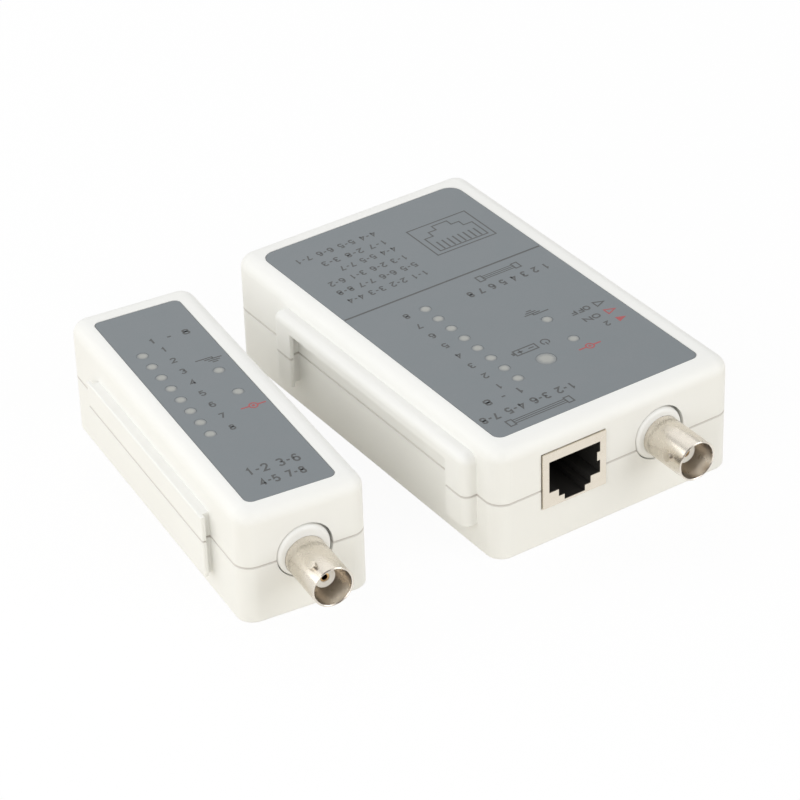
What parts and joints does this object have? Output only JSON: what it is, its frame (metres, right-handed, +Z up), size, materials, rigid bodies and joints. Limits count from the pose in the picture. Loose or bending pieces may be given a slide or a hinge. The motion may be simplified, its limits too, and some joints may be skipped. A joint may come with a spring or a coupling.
{
  "type": "network cable tester",
  "caption": "Hand-held cable tester: main unit and separate remote, each with lamps, a modular jack and a coax connector.",
  "frame": {"origin": "centre of the main unit's base, on the surface that both units stand on", "axes": "+Z up; +Y along the main unit from its connector end to its battery end; +X towards its switch side, so the remote stands on the -X side"},
  "size_m": [0.1229, 0.1176, 0.0285],
  "materials": {
    "case_plastic": "fine-grained moulded ABS, warm white",
    "label_print": "satin printed overlay, mid grey",
    "circuit_board": "green solder mask",
    "jack_plastic": "black moulded thermoplastic",
    "jack_metal": "tinned sheet, satin",
    "gold_contact": "gold flash over brass",
    "nickel": "turned, nickel plated",
    "collar_plastic": "white moulded plastic",
    "insulator_plastic": "white insulator",
    "lamp_lens": "diffusing lens, unlit",
    "tinned_wire": "tinned lead wire",
    "screw_steel": "zinc-plated steel",
    "resistor_body": "lacquered",
    "diode_body": "glass bead, orange",
    "capacitor_sleeve": "shrink sleeve, dark blue",
    "chip_plastic": "moulded epoxy, black",
    "switch_metal": "stamped tinned case",
    "switch_plastic": "black moulded knob",
    "battery_case": null,
    "snap_plastic": "black vinyl cap",
    "wire_red": "PVC insulation",
    "wire_black": "PVC insulation"
  },
  "bodies": {
    "main_tester": {"battery": "battery_case", "battery_lead_black": "wire_black", "battery_lead_red": "wire_red", "battery_snap": "snap_plastic", "counter_chip": "chip_plastic", "main_board": "circuit_board", "main_bottom_shell": "case_plastic", "main_capacitor": "capacitor_sleeve", "main_case_screws": "screw_steel", "main_coax_contact": "gold_contact", "main_coax_housing": "collar_plastic", "main_coax_insulator": "insulator_plastic", "main_coax_lamp": "lamp_lens", "main_coax_shell": "nickel", "main_ground_lamp": "lamp_lens", "main_jack_contacts": "gold_contact", "main_jack_housing": "jack_plastic", "main_jack_shield": "jack_metal", "main_label": "label_print", "main_lamp_leads": "tinned_wire", "main_pin_lamp_1": "lamp_lens", "main_pin_lamp_2": "lamp_lens", "main_pin_lamp_3": "lamp_lens", "main_pin_lamp_4": "lamp_lens", "main_pin_lamp_5": "lamp_lens", "main_pin_lamp_6": "lamp_lens", "main_pin_lamp_7": "lamp_lens", "main_pin_lamp_8": "lamp_lens", "main_power_lamp": "lamp_lens", "main_resistors": "resistor_body", "main_top_shell": "case_plastic", "switch_body": "switch_metal", "timer_chip": "chip_plastic"},
    "power_switch": {"switch_knob": "switch_plastic"},
    "battery_cover": {"battery_door": "case_plastic"},
    "remote_unit": {"remote_board": "circuit_board", "remote_bottom_shell": "case_plastic", "remote_case_screws": "screw_steel", "remote_coax_contact": "gold_contact", "remote_coax_housing": "collar_plastic", "remote_coax_insulator": "insulator_plastic", "remote_coax_lamp": "lamp_lens", "remote_coax_shell": "nickel", "remote_diodes": "diode_body", "remote_ground_lamp": "lamp_lens", "remote_jack_contacts": "gold_contact", "remote_jack_housing": "jack_plastic", "remote_jack_shield": "jack_metal", "remote_label": "label_print", "remote_lamp_leads": "tinned_wire", "remote_pin_lamp_1": "lamp_lens", "remote_pin_lamp_2": "lamp_lens", "remote_pin_lamp_3": "lamp_lens", "remote_pin_lamp_4": "lamp_lens", "remote_pin_lamp_5": "lamp_lens", "remote_pin_lamp_6": "lamp_lens", "remote_pin_lamp_7": "lamp_lens", "remote_pin_lamp_8": "lamp_lens", "remote_top_shell": "case_plastic"}
  },
  "joints": [
    {"name": "switch_slide", "type": "slide", "parent": "main_tester", "child": "power_switch", "axis": [0, -1, 0], "range_m": [0, 0.008]},
    {"name": "battery_door_slide", "type": "slide", "parent": "main_tester", "child": "battery_cover", "axis": [0, 1, 0], "range_m": [0, 0.04]},
    {"name": "remote_slide", "type": "slide", "parent": "main_tester", "child": "remote_unit", "axis": [-1, 0, 0], "range_m": [0, 0.1]}
  ]
}
